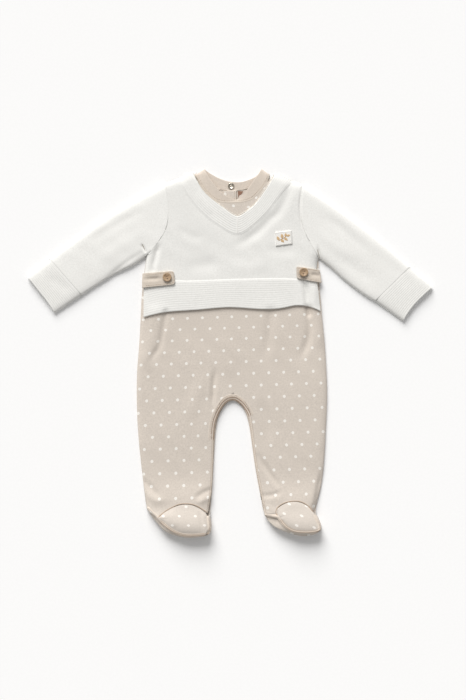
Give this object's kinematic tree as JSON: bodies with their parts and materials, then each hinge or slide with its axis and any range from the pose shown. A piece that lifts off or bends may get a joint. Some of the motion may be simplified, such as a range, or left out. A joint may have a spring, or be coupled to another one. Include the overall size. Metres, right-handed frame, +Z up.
{
  "type": "baby romper",
  "caption": "Footed baby romper laid flat on its back, with long sleeves, a V-neck overlay top, waist tabs and a dotted lower body.",
  "frame": {"origin": "centre of the bounding box on the underside, which rests on a flat surface", "axes": "+X from the garment's left of the picture to its right across the sleeves, +Y from feet to neck, +Z up from the surface through the cloth"},
  "size_m": [0.5668, 0.516, 0.0141],
  "materials": {
    "white_jersey": "matt cotton jersey",
    "white_rib": "matt ribbed cotton",
    "dotted_jersey": "matt cotton jersey printed with small white dots",
    "beige_band": "matt cotton jersey",
    "wood_button": "turned, thin clear finish",
    "snap": "cream paint on a pressed cap",
    "patch": "woven patch with a small stitched leaf"
  },
  "bodies": {
    "root": {"overlay_front": "white_jersey", "sleeve_left": "white_jersey", "sleeve_right": "white_jersey", "v_neck_band": "white_rib", "hem_band": "white_rib", "cuff_left": "white_rib", "cuff_right": "white_rib", "front_body": "dotted_jersey", "back_body": "dotted_jersey", "back_placket": "dotted_jersey", "foot_upper_left": "dotted_jersey", "foot_upper_right": "dotted_jersey", "foot_sole_left": "dotted_jersey", "foot_sole_right": "dotted_jersey", "neckband": "beige_band", "leg_band_front": "beige_band", "leg_band_back": "beige_band", "tab_left": "beige_band", "tab_right": "beige_band", "button_left": "wood_button", "button_right": "wood_button", "neck_snap": "snap", "chest_patch": "patch"}
  },
  "joints": []
}
